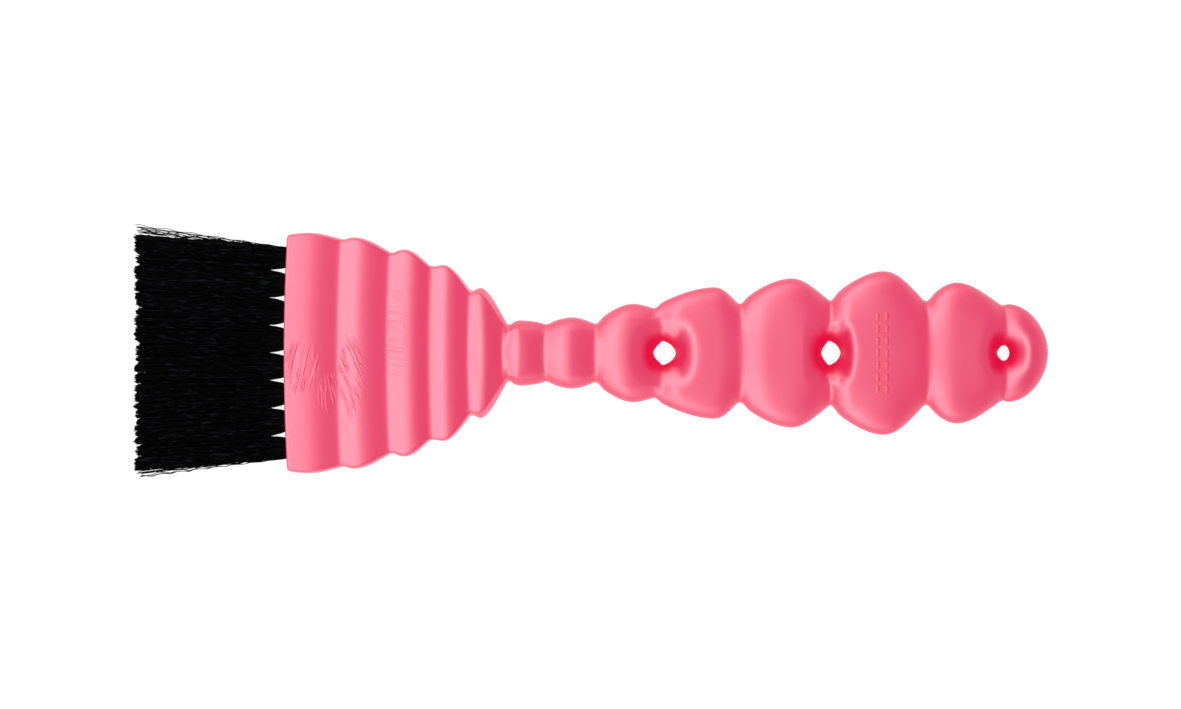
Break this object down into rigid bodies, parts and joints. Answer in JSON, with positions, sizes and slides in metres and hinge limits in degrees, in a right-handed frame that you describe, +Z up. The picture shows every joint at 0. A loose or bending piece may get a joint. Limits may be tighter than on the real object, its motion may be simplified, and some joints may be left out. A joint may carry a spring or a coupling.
{
  "type": "hair tint brush",
  "caption": "Flat hair tint brush: a moulded handle of rounded lobes with through holes widens into a ridged head that holds rows of crimped bristle tufts.",
  "frame": {"origin": "centre of the bottom of the object's box, so z = 0 is the surface that the brush lies on", "axes": "+X along the brush from the bristle tips to the handle's tail, +Y across its width, +Z up through its thickness"},
  "size_m": [0.2058, 0.0562, 0.0137],
  "materials": {
    "handle": "satin pink moulded plastic",
    "bristle": "crimped black nylon filament",
    "anchor": "plain flat-rolled strip"
  },
  "bodies": {
    "root": {"handle": "handle", "tuft_top_1": "bristle", "tuft_top_2": "bristle", "tuft_top_3": "bristle", "tuft_top_4": "bristle", "tuft_top_5": "bristle", "tuft_top_6": "bristle", "tuft_top_7": "bristle", "tuft_top_8": "bristle", "tuft_bottom_1": "bristle", "tuft_bottom_2": "bristle", "tuft_bottom_3": "bristle", "tuft_bottom_4": "bristle", "tuft_bottom_5": "bristle", "tuft_bottom_6": "bristle", "tuft_bottom_7": "bristle", "tuft_bottom_8": "bristle", "anchor_top_1": "anchor", "anchor_top_2": "anchor", "anchor_top_3": "anchor", "anchor_top_4": "anchor", "anchor_top_5": "anchor", "anchor_top_6": "anchor", "anchor_top_7": "anchor", "anchor_top_8": "anchor", "anchor_bottom_1": "anchor", "anchor_bottom_2": "anchor", "anchor_bottom_3": "anchor", "anchor_bottom_4": "anchor", "anchor_bottom_5": "anchor", "anchor_bottom_6": "anchor", "anchor_bottom_7": "anchor", "anchor_bottom_8": "anchor"}
  },
  "joints": []
}
